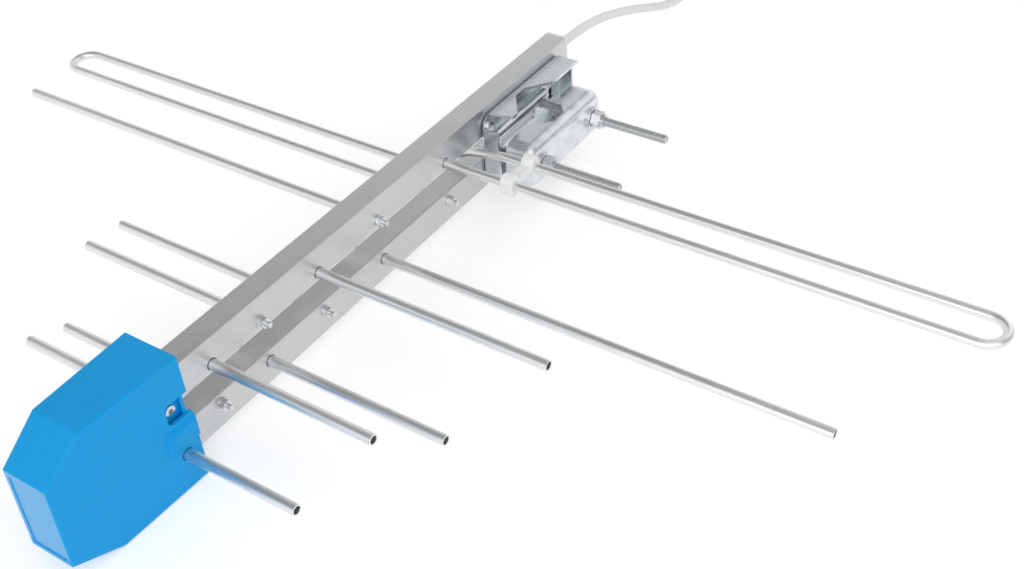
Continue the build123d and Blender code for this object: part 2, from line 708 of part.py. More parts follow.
# Clamp bracket: a pressed tray with a toothed V notch in its upper and lower flange
bracket_length = BRACKET_REAR - BRACKET_FRONT
bracket_centre = (BRACKET_FRONT + BRACKET_REAR) / 2
bracket_top = CLAMP_RISE + BRACKET_HEIGHT / 2
bracket_bottom = CLAMP_RISE - BRACKET_HEIGHT / 2
wall_edge = boom_face + BRACKET_WALL_DEPTH

with BuildPart() as clamp_bracket:
    with BuildSketch(beside(boom_face)):
        with Locations((bracket_centre, CLAMP_RISE)):
            Rectangle(bracket_length, BRACKET_HEIGHT)
    extrude(amount=BRACKET_DEPTH)
    tray_corners = clamp_bracket.edges().filter_by(Axis.X)
    fillet(tray_corners.group_by(Axis.Y)[0], BRACKET_CORNER)
    fillet(tray_corners.group_by(Axis.Y)[-1], BRACKET_BEND)
    fillet(clamp_bracket.faces().sort_by(Axis.X)[0].outer_wire().edges(), BRACKET_BEND - 0.4)
    offset(amount=-SHEET, openings=clamp_bracket.faces().sort_by(Axis.X)[-1])
    # the flanges start behind the front wall, with a slightly slanted edge
    for relief_base in (bracket_bottom - 1.0, bracket_top - BRACKET_RELIEF_DROP):
        with BuildSketch(Plane.XY.offset(relief_base)):
            with BuildLine():
                Polyline(
                    (bracket_base, BRACKET_FRONT - 1.0),
                    (bracket_edge + 1.0, BRACKET_FRONT - 1.0),
                    (bracket_edge + 1.0, FLANGE_FRONT + FLANGE_LEAD),
                    (bracket_base, FLANGE_FRONT),
                    close=True,
                )
            make_face()
        extrude(amount=BRACKET_RELIEF_DROP + 1.0, mode=Mode.SUBTRACT)
    # the end walls are lower than the flanges
    with BuildSketch(beside(wall_edge)):
        with Locations((BRACKET_FRONT, CLAMP_RISE)):
            Rectangle(2 * SHEET + 1.0, BRACKET_HEIGHT)
        with Locations((BRACKET_REAR, CLAMP_RISE)):
            Rectangle(2 * SHEET + 1.0, BRACKET_HEIGHT - 2 * SHEET)
    extrude(amount=BRACKET_DEPTH, mode=Mode.SUBTRACT)
    # toothed notches for the mast
    with BuildSketch(Plane.XY.offset(bracket_bottom - 1.0)):
        with BuildLine():
            Polyline(*toothed_notch(CLAMP_STATION, bracket_edge, -BRACKET_NOTCH_DEPTH), close=True)
        make_face()
    extrude(amount=BRACKET_HEIGHT + 2.0, mode=Mode.SUBTRACT)
    # rolled rib above the studs, open at both ends, and a window in the base between the studs
    with BuildSketch(across(RIB_FRONT)):
        with Locations((bracket_base - RIB_RADIUS + RIB_STANDOFF, RIB_RISE)):
            Circle(RIB_RADIUS)
            Circle(RIB_RADIUS - RIB_WALL, mode=Mode.SUBTRACT)
        with Locations((bracket_base - SHEET / 2 - RIB_RADIUS, RIB_RISE)):
            Rectangle(2 * RIB_RADIUS, 4 * RIB_RADIUS, mode=Mode.SUBTRACT)
    extrude(amount=-(RIB_REAR - RIB_FRONT))
    with BuildSketch(beside(boom_face - 1.0)):
        with Locations((CLAMP_STATION, WINDOW_RISE)):
            RectangleRounded(WINDOW_LENGTH, WINDOW_HEIGHT, 2.0)
        with Locations((SIGHT_SLOT_STATION, SIGHT_SLOT_RISE)):
            RectangleRounded(SIGHT_SLOT_LENGTH, SIGHT_SLOT_HEIGHT, 1.5)
        with Locations(*[(y, CLAMP_RISE) for y in clamp_stud_stations]):
            Circle(clamp_stud_radius + CLAMP_STUD_HOLE_CLEARANCE)
        with Locations(*rivet_places):
            Circle(RIVET_DIAMETER / 2 + THREAD_CLEARANCE)
    extrude(amount=SHEET + 2.0, mode=Mode.SUBTRACT)
save(clamp_bracket, "clamp_bracket")

# Rivets that hold the bracket on both booms
with BuildPart() as bracket_rivets:
    for y, z in rivet_places:
        with BuildSketch(beside(bracket_base)):
            with Locations((y, z)):
                Circle(RIVET_HEAD_DIAMETER / 2)
        extrude(amount=RIVET_HEAD_HEIGHT)
        with BuildSketch(beside(bracket_base)):
            with Locations((y, z)):
                Circle(RIVET_DIAMETER / 2)
        extrude(amount=-(SHEET + BOOM_WALL))
        with BuildSketch(beside(boom_bore)):
            with Locations((y, z)):
                Circle(RIVET_TAIL_DIAMETER / 2)
        extrude(amount=-RIVET_TAIL_LENGTH)
save(bracket_rivets, "bracket_rivets")

# Clamp jaw: a pressed dish that faces the bracket, with the same toothed V notch
with BuildPart() as clamp_jaw:
    with BuildSketch(beside(jaw_inner)):
        with Locations((CLAMP_STATION, CLAMP_RISE)):
            Rectangle(JAW_LENGTH, JAW_HEIGHT)
    extrude(amount=JAW_DEPTH)
    fillet(clamp_jaw.edges().filter_by(Axis.X), JAW_CORNER)
    jaw_rim = clamp_jaw.faces().sort_by(Axis.X)[-1].outer_wire().edges()
    fillet(jaw_rim, JAW_SHOULDER)
    offset(amount=-SHEET, openings=clamp_jaw.faces().sort_by(Axis.X)[0])
    with BuildSketch(Plane.XY.offset(CLAMP_RISE - JAW_HEIGHT / 2 - 1.0)):
        with BuildLine():
            Polyline(*toothed_notch(CLAMP_STATION, jaw_inner, JAW_NOTCH_DEPTH), close=True)
        make_face()
    extrude(amount=JAW_HEIGHT + 2.0, mode=Mode.SUBTRACT)
    with BuildSketch(beside(jaw_outer - SHEET - 1.0)):
        with Locations(*[(y, CLAMP_RISE) for y in clamp_stud_stations]):
            Circle(clamp_stud_radius + CLAMP_STUD_HOLE_CLEARANCE)
    extrude(amount=SHEET + 2.0, mode=Mode.SUBTRACT)
save(clamp_jaw, "clamp_jaw")

# Studs, washers and nuts of the clamp
washer_outer = jaw_outer + CLAMP_WASHER_THICKNESS
for end_name, y in zip(("front", "rear"), clamp_stud_stations):
    with BuildPart() as clamp_stud:
        with BuildSketch(beside(boom_face)):
            with Locations((y, CLAMP_RISE)):
                RegularPolygon(CLAMP_NUT_FLATS / 2, 6, major_radius=False)
        extrude(amount=-CLAMP_HEAD_THICKNESS)
        with BuildSketch(beside(boom_face)):
            with Locations((y, CLAMP_RISE)):
                Circle(clamp_stud_radius)
        extrude(amount=CLAMP_STUD_END - boom_face)
        chamfer(clamp_stud.faces().sort_by(Axis.X)[-1].edges(), 0.8)
    save(clamp_stud, f"clamp_stud_{end_name}")

    with BuildPart() as clamp_washer:
        with BuildSketch(beside(jaw_outer)):
            with Locations((y, CLAMP_RISE)):
                Circle(CLAMP_WASHER_DIAMETER / 2)
                Circle(clamp_stud_radius + CLAMP_STUD_HOLE_CLEARANCE, mode=Mode.SUBTRACT)
        extrude(amount=CLAMP_WASHER_THICKNESS)
    save(clamp_washer, f"clamp_washer_{end_name}")

    # hexagon nut with a round locking collar
    nut_seat = washer_outer + CLAMP_NUT_SEAT_GAP
    with BuildPart() as clamp_nut:
        with BuildSketch(beside(nut_seat)):
            with Locations((y, CLAMP_RISE)):
                RegularPolygon(CLAMP_NUT_FLATS / 2, 6, major_radius=False)
        extrude(amount=CLAMP_NUT_THICKNESS)
        with BuildSketch(beside(nut_seat + CLAMP_NUT_THICKNESS)):
            with Locations((y, CLAMP_RISE)):
                Circle(CLAMP_NUT_COLLAR_DIAMETER / 2)
        extrude(amount=CLAMP_NUT_COLLAR_LENGTH)
        fillet(clamp_nut.faces().sort_by(Axis.X)[-1].edges(), CLAMP_NUT_EDGE)
        with BuildSketch(beside(nut_seat)):
            with Locations((y, CLAMP_RISE)):
                Circle(clamp_stud_radius + CLAMP_NUT_RUNNING_CLEARANCE)
        extrude(amount=CLAMP_NUT_THICKNESS + CLAMP_NUT_COLLAR_LENGTH, mode=Mode.SUBTRACT)
    save(clamp_nut, f"clamp_nut_{end_name}")

# Free stretch of the cable, from the bushing down to the floor and on to the coil
cable_section = pi * (CABLE_DIAMETER / 2) ** 2
for name, route in (("coax_cable", CABLE_ROUTE), ("coax_tail", TAIL_ROUTE)):
    radii = route_radii(route)
    with BuildPart() as tube:
        with BuildLine() as tube_path:
            FilletPolyline(*route, radius=radii)
        with BuildSketch(across(route[0][1])):
            with Locations((route[0][0], route[0][2])):
                Circle(CABLE_DIAMETER / 2)
        sweep(path=tube_path.line)
    save(tube, name)
    tube_length = tube_path.wires()[0].length
    volume_ratio = tube.part.volume / (cable_section * tube_length)
    print(name, "radii", [round(radius, 1) for radius in radii])
    print(name, "length", round(tube_length, 2), "volume ratio", round(volume_ratio, 5))

# Coil: the outer shape of the bundle, stepped where the cable runs in and where the tail runs out
coil_width = COIL_COLUMNS * COIL_PITCH
coil_height = COIL_ROWS * COIL_PITCH
step_half = CABLE_DIAMETER / 2 + COIL_STEP_CLEARANCE
coil_x, coil_y = COIL_CENTRE
lead_x, lead_z = CABLE_ROUTE[-1][0], CABLE_ROUTE[-1][2]
tail_x, tail_z = TAIL_ROUTE[0][0], TAIL_ROUTE[0][2]

with BuildPart() as coax_coil:
    with BuildSketch(Plane.XY.offset(COIL_LIFT)):
        with Locations(COIL_CENTRE):
            Circle(COIL_MEAN_RADIUS + coil_width / 2)
            Circle(COIL_MEAN_RADIUS - coil_width / 2, mode=Mode.SUBTRACT)
    extrude(amount=coil_height)
    fillet(coax_coil.edges().filter_by(GeomType.CIRCLE), COIL_EDGE)
    with BuildSketch(across(coil_y)):
        with Locations((lead_x - step_half + coil_width / 2, lead_z + step_half - coil_height / 2)):
            Rectangle(coil_width, coil_height)
        with Locations((tail_x + step_half - coil_width / 2, tail_z - step_half + coil_height / 2)):
            Rectangle(coil_width, coil_height)
    extrude(amount=COIL_MEAN_RADIUS + coil_width, mode=Mode.SUBTRACT)
save(coax_coil, "coax_coil")

# Tie round the bundle, on the side towards the antenna
with BuildPart() as coil_tie:
    with BuildSketch(beside(coil_x - TIE_WIDTH / 2)):
        with Locations((coil_y - COIL_MEAN_RADIUS, COIL_LIFT + coil_height / 2)):
            inner_width = coil_width + 2 * TIE_CLEARANCE
            inner_height = coil_height + 2 * TIE_CLEARANCE
            RectangleRounded(inner_width + 2 * TIE_THICKNESS, inner_height + 2 * TIE_THICKNESS, 2.0)
            RectangleRounded(inner_width, inner_height, 1.0, mode=Mode.SUBTRACT)
    extrude(amount=TIE_WIDTH)
save(coil_tie, "coil_tie")

# Plug: moulded grip with a sleeve for the cable, metal shell and centre pin
plug_x, plug_y, plug_z = TAIL_ROUTE[-1]
plug_axis = Axis((plug_x, plug_y, plug_z), (0, 1, 0))
plug_plane = Plane(origin=(plug_x, plug_y, plug_z), x_dir=(0, -1, 0), z_dir=(1, 0, 0))
grip_end = PLUG_SLEEVE_LENGTH + PLUG_GRIP_LENGTH
nose_end = grip_end + PLUG_NOSE_LENGTH
nose_radius = PLUG_SHELL_RADIUS - PLUG_SHELL_WALL - PRESS_CLEARANCE
pin_start = nose_end - PLUG_PIN_SEAT

with BuildPart() as plug_body:
    with BuildSketch(plug_plane):
        with BuildLine():
            Polyline(
                (0.0, 0.0),
                (0.0, PLUG_SLEEVE_RADIUS),
                (PLUG_SLEEVE_LENGTH, PLUG_SLEEVE_RADIUS + 0.6),
                (PLUG_SLEEVE_LENGTH + 1.0, PLUG_RADIUS),
                (grip_end, PLUG_RADIUS),
                (grip_end, nose_radius),
                (nose_end, nose_radius),
                (nose_end, PLUG_PIN_RADIUS + PRESS_CLEARANCE),
                (pin_start, PLUG_PIN_RADIUS + PRESS_CLEARANCE),
                (pin_start, 0.0),
                close=True,
            )
        make_face()
    revolve(axis=plug_axis)
save(plug_body, "plug_body")

with BuildPart() as plug_shell:
    with BuildSketch(across(plug_y - grip_end)):
        with Locations((plug_x, plug_z)):
            Circle(PLUG_SHELL_RADIUS)
            Circle(PLUG_SHELL_RADIUS - PLUG_SHELL_WALL, mode=Mode.SUBTRACT)
    extrude(amount=PLUG_SHELL_LENGTH)
save(plug_shell, "plug_shell")

with BuildPart() as plug_pin:
    with BuildSketch(across(plug_y - pin_start)):
        with Locations((plug_x, plug_z)):
            Circle(PLUG_PIN_RADIUS)
    extrude(amount=PLUG_PIN_LENGTH)
    fillet(plug_pin.faces().sort_by(Axis.Y)[0].edges(), 0.8)
save(plug_pin, "plug_pin")
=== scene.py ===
import json
from math import ceil, cos, pi, radians, sin, sqrt

import bpy
from mathutils import Euler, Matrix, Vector


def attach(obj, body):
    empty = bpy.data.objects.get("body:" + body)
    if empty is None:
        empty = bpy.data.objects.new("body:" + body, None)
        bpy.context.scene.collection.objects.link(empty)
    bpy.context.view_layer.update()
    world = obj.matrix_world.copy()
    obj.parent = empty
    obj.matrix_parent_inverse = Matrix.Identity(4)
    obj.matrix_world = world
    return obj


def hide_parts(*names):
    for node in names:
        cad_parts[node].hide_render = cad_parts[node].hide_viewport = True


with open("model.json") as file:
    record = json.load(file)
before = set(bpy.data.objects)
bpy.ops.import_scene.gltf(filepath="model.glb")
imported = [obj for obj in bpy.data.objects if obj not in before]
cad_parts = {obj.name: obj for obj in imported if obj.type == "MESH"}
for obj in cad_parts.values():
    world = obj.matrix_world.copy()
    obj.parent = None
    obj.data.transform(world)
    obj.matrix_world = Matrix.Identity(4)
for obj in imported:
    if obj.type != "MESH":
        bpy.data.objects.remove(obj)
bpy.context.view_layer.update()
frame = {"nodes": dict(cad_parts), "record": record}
BODY = "antenna"
MM = 0.001

# Camera, solved from the photograph: place in metres, turn in degrees, lens and sensor in millimetres
CAMERA_PLACE = (0.3903, -0.3975, 0.4632)
CAMERA_TURN = (50.224, 2.769, 32.989)
CAMERA_LENS = 44.33
CAMERA_SENSOR = 36.0
CAMERA_CLIP = 0.01

# Cable, from the boom's end to the coil, and from the coil to the plug (millimetres)
CABLE_DIAMETER = 6.0
CABLE_SMOOTHNESS = 5
CABLE_ROUTE = (
    (0.0, 222.0, 54.6),
    (0.0, 246.0, 54.6),
    (0.5, 278.0, 50.0),
    (0.0, 312.0, 39.0),
    (-1.0, 347.0, 25.0),
    (-2.0, 384.0, 9.5),
    (-4.6, 420.0, 3.1),
    (-3.2, 457.0, 3.2),
    (-4.0, 494.0, 4.55),
    (-4.0, 522.0, 4.55),
)
TAIL_ROUTE = (
    (-99.6, 478.0, 18.0),
    (-100.2, 453.0, 9.0),
    (-100.0, 429.0, 6.5),
    (-100.0, 407.0, 6.5),
)
COIL_CENTRE = (-52.2, 522.0)
COIL_OUTER = 48.2
COIL_PITCH = 6.1
COIL_COLUMNS = 5
COIL_ROWS = 4
COIL_STEPS = 16

# Threaded studs of the clamp (millimetres)
STUD_STATIONS = {"clamp_stud_front": 129.0, "clamp_stud_rear": 187.0}
STUD_HEIGHT = 34.0
STUD_RADIUS = 3.0
STUD_START = 7.5
STUD_END = 99.0
THREAD_PITCH = 1.0
THREAD_DEPTH = {"clamp_stud_front": 0.52, "clamp_stud_rear": 0.34}
THREAD_SIDES = 20
THREAD_RINGS_A_TURN = 4
STUD_TIP_LENGTH = 0.9
STUD_TIP_DEPTH = 0.8
HEAD_START = 3.5
HEAD_FLATS = 10.0
HEAD_SIDES = 6

# Raised floors of the two pockets in the housing's sides (millimetres): height of the screw, then side
POCKET_SCREWS = ((48.2, 1), (21.1, -1))
POCKET_STATION = -147.0
SURROUND_FRONT = -156.0
SURROUND_REAR = -141.75
SURROUND_HALF_HEIGHT = 9.0
SURROUND_HOLE = 3.2
SURROUND_ROOT = 8.0
SURROUND_FACE = 12.4
SURROUND_STEPS = 48

# Inset panel of the housing's front: the stations that it lies between (millimetres), the limit of its
# normal's y, and the paler blue painted on it as a painted sheen (a painted reflection)
FRONT_PANEL_DEPTH = (-219.85, -217.5)
FRONT_PANEL_FACING = -0.95
FRONT_PANEL_PAINTED_SHEEN = (0.12, 0.44, 0.80, 1)

# Narrow bevel on the cut edges of metal pieces: millimetres and degrees
BEVELLED = (
    "clamp_bracket",
    "clamp_jaw",
    "clamp_nut_front",
    "clamp_nut_rear",
    "element_nuts",
    "clamp_washer_front",
    "clamp_washer_rear",
)
BEVEL_WIDTH = 0.22
BEVEL_ANGLE = 40

# Share of the tone that the painted shade takes away in a thread's deepest groove
GROOVE_SHADE = 0.62

# Sky: tone by height, and by the side that it is on. Each pair is a coordinate of the direction and a tone.
SKY_HORIZON = (0.51, 1.0)
SKY_SHOULDER = (0.67, 0.27)
SKY_UPPER = ((0.84, 0.26), (1.0, 0.46))
SKY_LEFT = (0.1, 1.0)
SKY_RIGHT = (0.7, 0.5)

# Floor, in metres, and its tone and glow
FLOOR_REACH = 6.0
FLOOR_DEPTH = -0.0006
FLOOR_TONE = (0.90, 0.90, 0.90, 1.0)
FLOOR_GLOW = 0.36

# Lamps, all aimed at the origin: name, place in metres, size in metres, power in watts
LAMPS = (
    ("key_light", (2.6, -1.5, 2.0), 3.6, 42.0),
    ("front_light", (0.6, -2.5, 1.3), 2.2, 15.0),
    ("back_light", (0.9, 2.4, 1.9), 2.6, 11.0),
    ("top_light", (1.0, 0.3, 2.3), 2.0, 6.0),
)


def link(name, data):
    piece = bpy.data.objects.new(name, data)
    bpy.context.scene.collection.objects.link(piece)
    return piece


def set_up_camera():
    data = bpy.data.cameras.new("camera")
    data.sensor_width = CAMERA_SENSOR
    data.sensor_fit = "HORIZONTAL"
    data.lens = CAMERA_LENS
    data.clip_start = CAMERA_CLIP
    camera = link("camera", data)
    camera.location = CAMERA_PLACE
    camera.rotation_euler = Euler([radians(angle) for angle in CAMERA_TURN], "XYZ")
    bpy.context.scene.camera = camera


def coil_points():
    """Turns of the coil, row by row: each row spirals in or out and climbs onto the next at its end."""
    shares = [step / COIL_STEPS for step in range(COIL_STEPS)]
    lean = [cos(pi / 2 * share) for share in shares]
    climb = [sin(pi / 2 * share) for share in shares]
    first = [COIL_OUTER - COIL_PITCH * share for share in shares]
    height = CABLE_ROUTE[-1][2]
    way = -1
    turns = []
    for row in range(COIL_ROWS):
        for column in range(COIL_COLUMNS - 1):
            turns.append([(radius + way * COIL_PITCH * column, height) for radius in first])
        if row == COIL_ROWS - 1:
            break
        last = turns[-1]
        crossing = [radius + way * COIL_PITCH * out for (radius, z), out in zip(last, lean)]
        turns.append([(radius, height + COIL_PITCH * up) for radius, up in zip(crossing, climb)])
        back = [COIL_PITCH * sqrt(1 - (1 - up) ** 2) for up in climb]
        first = [radius - way * inset for radius, inset in zip(crossing, back)]
        height += COIL_PITCH
        way = -way
    flat = [place for turn in turns for place in turn]
    flat = flat[: len(flat) - COIL_STEPS // 2 + 1]
    x, y = COIL_CENTRE
    points = []
    for number, (radius, z) in enumerate(flat):
        angle = 2 * pi * number / COIL_STEPS
        points.append((x + radius * cos(angle), y + radius * sin(angle), z))
    return points


def make_cable():
    """One NURBS cord through the route, the coil and the tail. Each point's radius is the cable's radius."""
    route = list(CABLE_ROUTE[:-1]) + coil_points() + list(TAIL_ROUTE)
    curve = bpy.data.curves.new("aerial_cable", "CURVE")
    curve.dimensions = "3D"
    curve.bevel_depth = 1.0
    curve.bevel_resolution = CABLE_SMOOTHNESS
    curve.resolution_u = CABLE_SMOOTHNESS
    curve.use_fill_caps = True
    spline = curve.splines.new("NURBS")
    spline.points.add(len(route) - 1)
    for point, place in zip(spline.points, route):
        point.co = (place[0] * MM, place[1] * MM, place[2] * MM, 1.0)
        point.radius = CABLE_DIAMETER / 2 * MM
    spline.order_u = 3
    spline.use_endpoint_u = True
    cable = link("aerial_cable", curve)
    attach(cable, BODY)
    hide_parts("coax_cable", "coax_coil", "coax_tail")
    return cable


def tube_faces(first, rings, sides):
    """Quads between consecutive rings of points, and a cap at each end."""
    faces = []
    for ring in range(rings - 1):
        start = first + ring * sides
        for side in range(sides):
            other = (side + 1) % sides
            faces.append((start + side, start + other, start + sides + other, start + sides + side))
    last = first + (rings - 1) * sides
    faces.append(tuple(first + side for side in reversed(range(sides))))
    faces.append(tuple(last + side for side in range(sides)))
    return faces


def make_stud(name, material):
    """Screw thread: rings of points whose radius rises and falls along a helix. A hexagon head ends it."""
    station = STUD_STATIONS[name]
    rings = ceil((STUD_END - STUD_START) / THREAD_PITCH * THREAD_RINGS_A_TURN) + 1
    points = []
    grooves = []
    for ring in range(rings):
        x = STUD_START + (STUD_END - STUD_START) * ring / (rings - 1)
        tip = max(0.0, 1.0 - (STUD_END - x) / STUD_TIP_LENGTH)
        for side in range(THREAD_SIDES):
            share = side / THREAD_SIDES
            phase = (x / THREAD_PITCH - share) % 1.0
            depth = abs(2 * phase - 1)
            radius = STUD_RADIUS - max(THREAD_DEPTH[name] * depth, STUD_TIP_DEPTH * tip)
            angle = 2 * pi * share
            points.append((x, station + radius * cos(angle), STUD_HEIGHT + radius * sin(angle)))
            grooves.append(depth)
    faces = tube_faces(0, rings, THREAD_SIDES)
    head = len(points)
    corner = HEAD_FLATS / 2 / cos(pi / HEAD_SIDES)
    for x in (HEAD_START, STUD_START):
        for side in range(HEAD_SIDES):
            angle = 2 * pi * side / HEAD_SIDES
            points.append((x, station + corner * cos(angle), STUD_HEIGHT + corner * sin(angle)))
    faces += tube_faces(head, 2, HEAD_SIDES)
    mesh = bpy.data.meshes.new(f"threaded_{name}")
    mesh.from_pydata([tuple(value * MM for value in point) for point in points], [], faces)
    mesh.materials.append(material)
    groove = mesh.attributes.new("groove", "FLOAT", "POINT")
    for number, depth in enumerate(grooves):
        groove.data[number].value = depth
    stud = link(f"threaded_{name}", mesh)
    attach(stud, BODY)
    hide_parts(name)


def make_surrounds(material):
    """Raised floor of each pocket, filling it to the boom, with a round hole for the screw head."""
    points, faces = [], []
    rings = ((False, SURROUND_ROOT), (False, SURROUND_FACE), (True, SURROUND_FACE), (True, SURROUND_ROOT))
    for screw_z, side in POCKET_SCREWS:
        first = len(points)
        for outer, x in rings:
            for step in range(SURROUND_STEPS):
                angle = 2 * pi * (step + 0.5) / SURROUND_STEPS
                along, up = cos(angle), sin(angle)
                reach = SURROUND_HOLE
                if outer:
                    edge = SURROUND_REAR if along > 0 else SURROUND_FRONT
                    reach = min((edge - POCKET_STATION) / along, SURROUND_HALF_HEIGHT / abs(up))
                place = (side * x, POCKET_STATION + reach * along, screw_z + reach * up)
                points.append(tuple(value * MM for value in place))
        for ring in range(len(rings)):
            near = first + ring * SURROUND_STEPS
            far = first + (ring + 1) % len(rings) * SURROUND_STEPS
            for step in range(SURROUND_STEPS):
                other = (step + 1) % SURROUND_STEPS
                face = (near + step, near + other, far + other, far + step)
                faces.append(face[::-1] if side > 0 else face)
    mesh = bpy.data.meshes.new("screw_surrounds")
    mesh.from_pydata(points, [], faces)
    mesh.materials.append(material)
    surrounds = link("screw_surrounds", mesh)
    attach(surrounds, BODY)


# Materials: noise scales in object coordinates, bump depths in metres

EVEN = (1, 1, 1)
BLOTCH_SCALE = 60.0
GRAIN_DEPTH = 0.00005
FLOW_STRETCH = (1, 0.4, 1)
FLOW_SCALE = 28.0
SPARK_DEPTH = 0.0001


def new_material(name):
    material = bpy.data.materials.new(name)
    material.use_nodes = True
    nodes = material.node_tree.nodes
    return material, nodes, material.node_tree.links, nodes["Principled BSDF"]


def add_node(nodes, kind, **values):
    node = nodes.new(kind)
    for key, value in values.items():
        if key in node.inputs:
            node.inputs[key].default_value = value
        else:
            setattr(node, key, value)
    return node


def stretched_noise(nodes, links, stretch, scale, detail=4.0, roughness=0.6):
    """Noise in object coordinates, drawn out along an axis by a small value in stretch."""
    where = nodes.new("ShaderNodeTexCoord")
    mapping = nodes.new("ShaderNodeMapping")
    mapping.inputs["Scale"].default_value = stretch
    noise = add_node(nodes, "ShaderNodeTexNoise", Scale=scale, Detail=detail, Roughness=roughness)
    links.new(where.outputs["Object"], mapping.inputs["Vector"])
    links.new(mapping.outputs["Vector"], noise.inputs["Vector"])
    return noise


def ramp_between(nodes, links, source, low, high, start=0.3, end=0.7):
    ramp = nodes.new("ShaderNodeValToRGB")
    ramp.color_ramp.elements[0].position = start
    ramp.color_ramp.elements[1].position = end
    ramp.color_ramp.elements[0].color = low
    ramp.color_ramp.elements[1].color = high
    links.new(source, ramp.inputs["Fac"])
    return ramp


def grey(value, blue=0.0):
    return (value, value + blue * 0.5, value + blue, 1.0)


def multiply(nodes, links, first, second):
    """The product of two colours."""
    mix = add_node(nodes, "ShaderNodeMix", data_type="RGBA", blend_type="MULTIPLY")
    mix.inputs["Factor"].default_value = 1.0
    links.new(first, mix.inputs["A"])
    links.new(second, mix.inputs["B"])
    return mix.outputs["Result"]


def split_vector(nodes, links, source):
    """The X, Y and Z of a vector."""
    split = nodes.new("ShaderNodeSeparateXYZ")
    links.new(source, split.inputs["Vector"])
    return split.outputs


def add_bump(nodes, links, shader, source, strength, distance):
    bump = add_node(nodes, "ShaderNodeBump", Strength=strength, Distance=distance)
    links.new(source, bump.inputs["Height"])
    links.new(bump.outputs["Normal"], shader.inputs["Normal"])


def metal(name, dark, light, stretch, scale, rough, bump, blotch=0.04):
    """Metal with grain drawn along one axis, slow blotches of tone, and a worn roughness."""
    material, nodes, links, shader = new_material(name)
    grain = stretched_noise(nodes, links, stretch, scale)
    tone = ramp_between(nodes, links, grain.outputs["Fac"], dark, light)
    cloud = stretched_noise(nodes, links, EVEN, BLOTCH_SCALE, detail=3.0)
    patch = ramp_between(nodes, links, cloud.outputs["Fac"], grey(1 - blotch), grey(1.0), 0.35, 0.65)
    colour = multiply(nodes, links, tone.outputs["Color"], patch.outputs["Color"])
    links.new(colour, shader.inputs["Base Color"])
    polish = ramp_between(nodes, links, grain.outputs["Fac"], grey(rough[0]), grey(rough[1]))
    links.new(polish.outputs["Color"], shader.inputs["Roughness"])
    shader.inputs["Metallic"].default_value = 1.0
    add_bump(nodes, links, shader, grain.outputs["Fac"], bump, GRAIN_DEPTH)
    return material


def paint_groove_shade(material):
    """Painted shade in a thread: the tone falls with the groove depth kept in the mesh."""
    nodes, links = material.node_tree.nodes, material.node_tree.links
    shader = nodes["Principled BSDF"]
    tone = shader.inputs["Base Color"].links[0].from_socket
    groove = add_node(nodes, "ShaderNodeAttribute", attribute_name="groove")
    # the ramp darkens the deeper grooves: painted shade, not dirt
    shade = ramp_between(nodes, links, groove.outputs["Fac"], grey(1.0), grey(1 - GROOVE_SHADE), 0.1, 0.9)
    colour = multiply(nodes, links, tone, shade.outputs["Color"])
    links.new(colour, shader.inputs["Base Color"])


def plastic(name, colour, rough, grain_scale, bump, shade, specular=0.5):
    """Moulded plastic: fine spark texture, faint flow marks, slightly uneven colour."""
    material, nodes, links, shader = new_material(name)
    flow = stretched_noise(nodes, links, FLOW_STRETCH, FLOW_SCALE, detail=3.0)
    dark = tuple(channel * (1 - shade) for channel in colour)
    tone = ramp_between(nodes, links, flow.outputs["Fac"], (*dark, 1.0), (*colour, 1.0))
    links.new(tone.outputs["Color"], shader.inputs["Base Color"])
    spark = stretched_noise(nodes, links, EVEN, grain_scale, detail=2.0)
    polish = ramp_between(nodes, links, flow.outputs["Fac"], grey(rough - 0.05), grey(rough + 0.07))
    links.new(polish.outputs["Color"], shader.inputs["Roughness"])
    shader.inputs["Specular IOR Level"].default_value = specular
    add_bump(nodes, links, shader, spark.outputs["Fac"], bump, SPARK_DEPTH)
    return material


def paint_front_sheen(material):
    """Painted sheen: where a face lies at the inset panel's depth and looks ahead, the blue is mixed to a
    paler tone that stands in for a reflection.
    """
    nodes, links = material.node_tree.nodes, material.node_tree.links
    shader = nodes["Principled BSDF"]
    tone = shader.inputs["Base Color"].links[0].from_socket
    place = split_vector(nodes, links, nodes.new("ShaderNodeTexCoord").outputs["Object"])
    facing = split_vector(nodes, links, nodes.new("ShaderNodeNewGeometry").outputs["True Normal"])
    share = None
    for source, operation, limit in (
        (place["Y"], "GREATER_THAN", FRONT_PANEL_DEPTH[0] * MM),
        (place["Y"], "LESS_THAN", FRONT_PANEL_DEPTH[1] * MM),
        (facing["Y"], "LESS_THAN", FRONT_PANEL_FACING),
    ):
        test = add_node(nodes, "ShaderNodeMath", operation=operation)
        links.new(source, test.inputs[0])
        test.inputs[1].default_value = limit
        if share is None:
            share = test.outputs["Value"]
            continue
        both = add_node(nodes, "ShaderNodeMath", operation="MULTIPLY")
        links.new(share, both.inputs[0])
        links.new(test.outputs["Value"], both.inputs[1])
        share = both.outputs["Value"]
    # mix the painted sheen's paler blue into the panel's forward faces
    mix = add_node(nodes, "ShaderNodeMix", data_type="RGBA")
    links.new(share, mix.inputs["Factor"])
    links.new(tone, mix.inputs["A"])
    mix.inputs["B"].default_value = FRONT_PANEL_PAINTED_SHEEN
    links.new(mix.outputs["Result"], shader.inputs["Base Color"])


